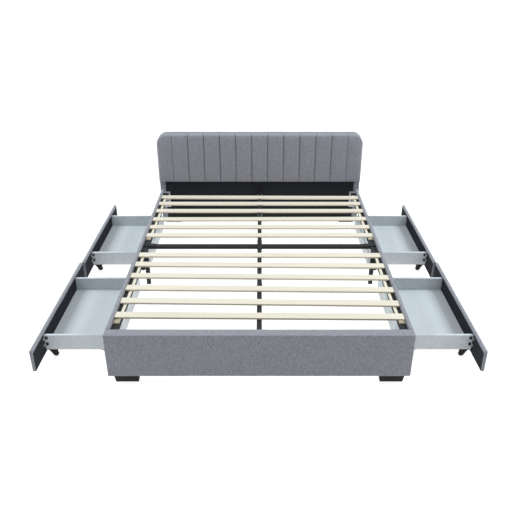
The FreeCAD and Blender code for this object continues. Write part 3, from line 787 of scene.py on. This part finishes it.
def frame_linings():
    """Black lining over the inner faces of the rails below their ledgers, and of the footboard."""
    for side, name in ((-1, "left"), (1, "right")):
        low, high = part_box(f"side_rail_{name}")
        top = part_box(f"ledger_{name}")[0].z
        x = low.x if side > 0 else high.x
        corner_low = Vector((x, low.y + RAIL_MARGIN, low.z + RAIL_MARGIN))
        corner_high = Vector((x, high.y - RAIL_MARGIN, top - LEDGER_GAP))
        rail = f"side_rail_{name}"
        lining_sheet(f"{rail}_lining", "frame", corner_low, corner_high, -side)
    low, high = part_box("footboard")
    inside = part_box("ledger_right")[1].x
    corner_low = Vector((-inside, high.y, low.z + RAIL_MARGIN))
    corner_high = Vector((inside, high.y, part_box("ledger_right")[0].z - RAIL_MARGIN))
    lining_sheet("footboard_lining", "frame", corner_low, corner_high, 2)


TUBE_WEAR = 0.0015
PLATE_WEAR = 0.0008
FOOT_WEAR = 0.002
ZINC_WEAR = 0.0006


def plain_frame_nodes():
    """Finishes of the frame's own CAD nodes."""
    for name in ("ledger_left", "ledger_right", "cross_beam", "center_beam_head", "center_beam_foot"):
        paint_node(name, BLACK_STEEL, TUBE_WEAR)
    for name in ("side_legs", "center_leg", "beam_plates"):
        paint_node(name, BLACK_STEEL, PLATE_WEAR)
    for name in ("headboard_feet", "footboard_feet"):
        paint_node(name, BLACK_PLASTIC, FOOT_WEAR)
    paint_node("leg_glides", BLACK_PLASTIC)
    paint_node("headboard_lower_panel", LINING, TUBE_WEAR)
    paint_node("slats_head", SLAT_WOOD)
    paint_node("slats_foot", SLAT_WOOD)
    paint_node("frame_brackets", ZINC, ZINC_WEAR)
    frame_bolts()
    panel_screws()
    for row in ("head", "foot"):
        slat_straps(f"slat_straps_{row}")


def hex_bolt(radius, height):
    """A washer and a hexagon head with a chamfered top."""
    washer = 0.2 * height
    head = 0.84 * radius
    profile = [
        (radius, 0), (radius, washer), (head, washer), (head, 0.85 * height),
        (0.86 * head, height), (0.55 * head, height),
        (0.5 * head, 0.9 * height), (0.02 * head, 0.9 * height),
    ]
    return turned(profile, 24, facets=(2, 3))


def dome_bolt(radius, height):
    """A flanged dome head with a hexagon socket."""
    profile = [
        (radius, 0), (radius, 0.22 * height),
        (0.9 * radius, 0.34 * height), (0.87 * radius, 0.7 * height),
        (0.72 * radius, 0.93 * height), (0.5 * radius, height), (0.36 * radius, height),
        (0.36 * radius, 0.55 * height), (0.02 * radius, 0.55 * height),
    ]
    return turned(profile, 24, facets=(6, 7, 8))


def frame_bolts():
    """Hexagon bolts wherever the frame's steel is bolted."""
    shape = Shape()
    for low, high in solids("frame_bolts"):
        size = high - low
        middle = (low + high) / 2
        axis = min(range(3), key=lambda k: size[k])
        direction = [0, 0, 0]
        direction[axis] = 1 if axis == 2 else -1
        if axis == 0 and middle.x < 0 or axis == 1 and middle.y < -0.5:
            direction[axis] = 1
        base = middle.copy()
        base[axis] = low[axis] if direction[axis] > 0 else high[axis]
        shape.add(*hex_bolt(max(size) / 2, size[axis]), matrix=standing(base, direction))
    piece = make_piece("frame_bolt_heads", shape, [DARK_BOLT], "frame")
    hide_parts("frame_bolts")


# Radius and height of a screw's head; height and spacing of each pair of screws.
PANEL_SCREW = (0.0048, 0.003)
PANEL_SCREW_PAIRS = ((0.202, 0.016), (0.144, 0.018), (0.076, 0.030))


def panel_screws():
    """Pairs of zinc screws down the middle of the headboard's lower panel."""
    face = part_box("headboard_lower_panel")[0].y
    shape = Shape()
    for height, apart in PANEL_SCREW_PAIRS:
        for side in (-1, 1):
            place = Vector((side * apart / 2, face, height))
            shape.add(*dome_bolt(*PANEL_SCREW), matrix=standing(place, (0, -1, 0)))
    piece = make_piece("panel_screws", shape, [ZINC], "frame")


STRAP_WIDTH = 0.017
STRAP_CLOTH = 0.0011
STRAP_CELL = 0.012
STRAP_START = 0.002
STRAP_LIFT = 0.0001
# How far a strap bows towards the bed's middle, and how much it waves up and down.
STRAP_DRIFT = 0.006
STRAP_WAVE = 0.0006
WAVE_STEP = 0.52
# The folded tail: its rise and crown, and where its two layers start and end along the bed.
TAIL_LIFT = 0.0012
TAIL_RISE = 0.003
TAIL_SPAN = (0.001, 0.036)
SECOND_SPAN = (0.004, 0.035)
SECOND_WIDTH = 0.94
LAYER_GAP = 0.0004


def slat_straps(node):
    """Webbing that ties a group of slats, its tail folded over outward in two layers and painted darker as
    shade.
    """
    whole = Shape()
    flat_area = 0
    boxes = solids(node)
    for low, high in boxes:
        side = 1 if low.x > 0 else -1
        inner = low.x if side > 0 else high.x
        count = round((high.y - low.y) / STRAP_CELL)

        def ribbon(start, end, across, rows, height_at, kind):
            points = []
            for level in (0, STRAP_CLOTH):
                for j in range(rows + 1):
                    y = start + (end - start) * j / rows
                    drift = 0 if kind else STRAP_DRIFT * math.sin(math.pi * j / rows)
                    for i in range(5):
                        x = inner + side * (across * i / 4 - drift)
                        points.append((x, y, height_at(j / rows, i / 4) + level))
            size = 5 * (rows + 1)
            faces = grid_faces(5, rows + 1, flip=True)
            faces += [[i + size for i in face] for face in grid_faces(5, rows + 1)]
            border = list(range(5)) + [j * 5 + 4 for j in range(1, rows + 1)]
            border += [rows * 5 + i for i in range(3, -1, -1)] + [j * 5 for j in range(rows - 1, 0, -1)]
            faces += [[a, b, b + size, a + size] for a, b in zip(border, border[1:] + border[:1])]
            whole.add(points, faces, kind)
            return abs(end - start) * across

        def along(share, _across):
            wave = 0.5 + 0.5 * math.sin(share * count * WAVE_STEP + side)
            return low.z + STRAP_LIFT + STRAP_WAVE * wave

        def tail(share, across):
            rise = TAIL_RISE * share ** 1.3
            return low.z + TAIL_LIFT + rise + TAIL_LIFT * math.sin(math.pi * across)

        def second_layer(share, across):
            return tail(share, across) + STRAP_CLOTH + LAYER_GAP

        flat_area += ribbon(low.y + STRAP_START, high.y, STRAP_WIDTH, count, along, 0)
        reach = high.x - low.x
        first, second = ([low.y + end for end in span] for span in (TAIL_SPAN, SECOND_SPAN))
        # The tail's two layers take the darker webbing: painted shade.
        flat_area += ribbon(*first, reach, 6, tail, 1)
        flat_area += ribbon(*second, reach * SECOND_WIDTH, 6, second_layer, 1)
    piece = make_piece(f"{node}_webbing", whole, [WEBBING, WEBBING_PAINTED_SHADE], "frame", merge=1e-7)
    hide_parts(node)


# ---------------------------------------------------------------- drawers


# Bare edges that the lining leaves on a drawer front: at its ends, its foot and its top.
LINING_ENDS = 0.003
LINING_FOOT = 0.004
LINING_TOP = 0.013
# The lining and its board stay inside the 1 mm between a closed front and the bed's legs.
FRONT_LINING_PROUD = 0.0006
FRONT_RIPPLE = 0.0004
FRONT_CELL = 0.015
BOARD_WEAR = 0.001


BRACE_STEEL = 0.002
# Bend radii as multiples of the steel's thickness, and the screw's head and place on its flange.
BRACE_BEND = (1.2, 2.2)
BRACE_SCREW = (0.0036, 0.0016)
BRACE_SCREW_PLACE = 0.72
BRACE_WEAR = 0.0004


def corner_braces(name, side):
    """Zinc angles that hold the box to its front, each clamped by a dark domed bolt."""
    node = f"{name}_corner_braces"
    boxes = solids(node)
    middle_y = sum(low.y + high.y for low, high in boxes) / (2 * len(boxes))
    shape = Shape()
    for low, high in boxes:
        size = high - low
        outward = -1 if low.y + high.y < 2 * middle_y else 1
        if size.y < 0.01:
            base = (low + high) / 2
            base.y = high.y if outward < 0 else low.y
            shape.add(*dome_bolt(size.x / 2, size.y), 1, standing(base, (0, outward, 0)))
            continue
        steel = BRACE_STEEL
        inner_bend, outer_bend = (share * steel for share in BRACE_BEND)
        leg, flange = size.x, size.y
        bend = arc((outer_bend, outer_bend), inner_bend, 270, 180, 4)
        outer = arc((outer_bend, outer_bend), outer_bend, 180, 270, 4)
        outline = [(steel, flange), (0, flange)] + outer + [(leg, 0), (leg, steel)] + bend
        corner = Vector((high.x if side > 0 else low.x, high.y if outward < 0 else low.y, 0))
        placed = [(corner.x - side * a, corner.y + outward * b) for a, b in outline]
        shape.add(*prism(placed, low.z, high.z, 2))
        screw_y = corner.y + outward * BRACE_SCREW_PLACE * flange
        screw = Vector((corner.x - side * steel, screw_y, (low.z + high.z) / 2))
        shape.add(*dome_bolt(*BRACE_SCREW), 1, standing(screw, (-side, 0, 0)))
    piece = make_piece(f"{name}_brace_set", shape, [ZINC, DARK_BOLT], name)
    bevel(piece, BRACE_WEAR)
    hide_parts(node)


# Half the plate's length and width, its thickness and corner radius, and where its screws are.
PLATE = (0.031, 0.017, 0.0035)
PLATE_ROUND = 0.004
PLATE_SCREWS = (0.027, 0.0125)
PLATE_SCREW = (0.0033, 0.0014)
# The raceway's outline, as radius and distance below the plate.
RACE = ((0.0165, 0), (0.0165, 0.0016), (0.0152, 0.0022), (0.0152, 0.0030), (0.0163, 0.0036),
        (0.0163, 0.006))
HOUSING_TOP = -0.0042
HOUSING_HALF = 0.029
FLARE = 0.010
SHOULDER = 0.009
ROOF = ((-0.026, HOUSING_TOP), (-0.019, -0.0118), (0.0200, -0.0118), (0.026, HOUSING_TOP))
ROOF_GAP = 0.0004
CHEEK = (0.0078, 0.0115)
CHEEK_NOSE = 0.0095
TRAIL = 0.010
AXLE_DROP = 0.038
AXLE_RADIUS = 0.003
AXLE_HEAD = (0.0046, 0.0016)
HOUSING_WEAR = 0.0005


def caster_fork():
    """One caster housing about the middle of its plate's top, trailing along +X."""
    shape = Shape()
    shape.add(*prism(rounded_outline(PLATE[0], PLATE[1], PLATE_ROUND), -PLATE[2], 0, 2))
    for x in (-PLATE_SCREWS[0], PLATE_SCREWS[0]):
        for y in (-PLATE_SCREWS[1], PLATE_SCREWS[1]):
            shape.add(*dome_bolt(*PLATE_SCREW), 1, standing(Vector((x, y, -PLATE[2])), (0, 0, -1)))
    shape.add(*turned(RACE, 32), matrix=standing(Vector((0, 0, -PLATE[2])), (0, 0, -1)))
    nose = arc((TRAIL, -AXLE_DROP), CHEEK_NOSE, 215, 360, 14)
    flare = arc((-HOUSING_HALF, HOUSING_TOP - FLARE), FLARE, 90, 20, 4)
    shoulder = arc((HOUSING_HALF, HOUSING_TOP - SHOULDER), SHOULDER, 180, 90, 4)
    cheek = [(-HOUSING_HALF, HOUSING_TOP)] + flare[1:] + nose + shoulder
    for side in (-1, 1):
        low, high = sorted((side * CHEEK[0], side * CHEEK[1]))
        shape.add(*prism(cheek, low, high, 1))
        axle_at = Vector((TRAIL, side * CHEEK[1], -AXLE_DROP))
        shape.add(*dome_bolt(*AXLE_HEAD), 1, standing(axle_at, (0, side, 0)))
    shape.add(*prism(ROOF, -CHEEK[1] + ROOF_GAP, CHEEK[1] - ROOF_GAP, 1))
    pin = turned([(AXLE_RADIUS, -CHEEK[1]), (AXLE_RADIUS, CHEEK[1])], 20)
    shape.add(*pin, 1, Matrix.Translation((TRAIL, 0, -AXLE_DROP)) @ Matrix.Rotation(math.pi / 2, 4, "X"))
    return shape


def caster_forks(name, side):
    """The four caster housings of a drawer."""
    node = f"{name}_caster_forks"
    fork = caster_fork()
    shape = Shape()
    for low, high in solids(node):
        top = Vector(((low.x + high.x) / 2, (low.y + high.y) / 2, high.z))
        turn = Matrix.Rotation(math.pi, 4, "Z") if side > 0 else Matrix()
        shape.add_shape(fork, Matrix.Translation(top) @ turn)
    piece = make_piece(f"{name}_caster_housings", shape, [BLACK_PLASTIC, DARK_BOLT], name, merge=1e-7)
    bevel(piece, HOUSING_WEAR)
    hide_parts(node)


def drawer(name, seed):
    """Finishes and upholstery of one drawer."""
    side = -1 if name.endswith("left") else 1
    front = f"{name}_front"
    wrapped_board(front, f"{front}_cover", name, BOARD_ROUND, seed, FRONT_CELL, FRONT_RIPPLE)
    low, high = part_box(f"{name}_front")
    inside = low.x if side > 0 else high.x
    corner_low = Vector((inside, low.y + LINING_ENDS, low.z + LINING_FOOT))
    corner_high = Vector((inside, high.y - LINING_ENDS, high.z - LINING_TOP))
    lining_sheet(f"{front}_lining", name, corner_low, corner_high, -side, proud=FRONT_LINING_PROUD)
    for part in ("side_near", "side_far", "back", "bottom"):
        paint_node(f"{name}_{part}", BOARD, BOARD_WEAR)
    corner_braces(name, side)
    caster_forks(name, side)
    for row in ("outer", "inner"):
        paint_node(f"{name}_{row}_wheels", WHEEL_RUBBER)


# ---------------------------------------------------------------- floor, light and camera


FLOOR_HALF = 30
FLOOR_DROP = 0.0005
FLOOR_GLOW = 0.85
FLOOR_GREY = (0.35, 0.35, 0.35, 1)
SKY = (0.95, 0.98, 1.0, 1)
SKY_STRENGTH = 0.65
LIGHT_PLACE = (4.8, 0.1, 4.6)
LIGHT_SIZE = 2.6
LIGHT_COLOUR = (0.93, 1.0, 1.03)
LIGHTS = ((-1, "left_light", 280), (1, "right_light", 320))
LENS = 42.31
SHIFT = (-0.0061, -0.0122)
# The camera's place, with its distance measured from the footboard's front, and its tilt down.
CAMERA_SIDE = 0.0073
CAMERA_BACK = 2.5588
CAMERA_HEIGHT = 2.0844
CAMERA_TILT = 26.77


def studio():
    """A pale floor, soft light from high on both sides, and the camera."""
    material, _, shader = start_material("studio_floor", 0.9)
    shader.inputs["Base Color"].default_value = FLOOR_GREY
    shader.inputs["Specular IOR Level"].default_value = 0
    shader.inputs["Emission Color"].default_value = (1, 1, 1, 1)
    shader.inputs["Emission Strength"].default_value = FLOOR_GLOW
    mesh = bpy.data.meshes.new("floor")
    signs = ((-1, -1), (1, -1), (1, 1), (-1, 1))
    corners = [(x * FLOOR_HALF, y * FLOOR_HALF, -FLOOR_DROP) for x, y in signs]
    mesh.from_pydata(corners, [], [[0, 1, 2, 3]])
    mesh.materials.append(material)
    floor = bpy.data.objects.new("floor", mesh)
    bpy.context.scene.collection.objects.link(floor)

    world = bpy.data.worlds.new("studio")
    bpy.context.scene.world = world
    world.use_nodes = True
    background = world.node_tree.nodes["Background"]
    background.inputs["Color"].default_value = SKY
    background.inputs["Strength"].default_value = SKY_STRENGTH

    for side, name, power in LIGHTS:
        light = bpy.data.lights.new(name, "AREA")
        light.size = LIGHT_SIZE
        light.energy = power
        light.color = LIGHT_COLOUR
        made = bpy.data.objects.new(name, light)
        made.location = (side * LIGHT_PLACE[0], *LIGHT_PLACE[1:])
        made.rotation_euler = (-made.location).to_track_quat("-Z", "Y").to_euler()
        bpy.context.scene.collection.objects.link(made)

    camera = bpy.data.cameras.new("camera")
    camera.lens = LENS
    camera.sensor_width = 36
    camera.shift_x, camera.shift_y = SHIFT
    made = bpy.data.objects.new("camera", camera)
    made.location = (CAMERA_SIDE, cad_low.y - CAMERA_BACK, CAMERA_HEIGHT)
    made.rotation_euler = (math.radians(90 - CAMERA_TILT), 0, 0)
    bpy.context.scene.collection.objects.link(made)
    bpy.context.scene.camera = made
    bpy.context.scene.view_settings.view_transform = "Standard"


frame_upholstery()
plain_frame_nodes()
for seed, name in enumerate(DRAWERS, start=11):
    drawer(name, seed)
studio()
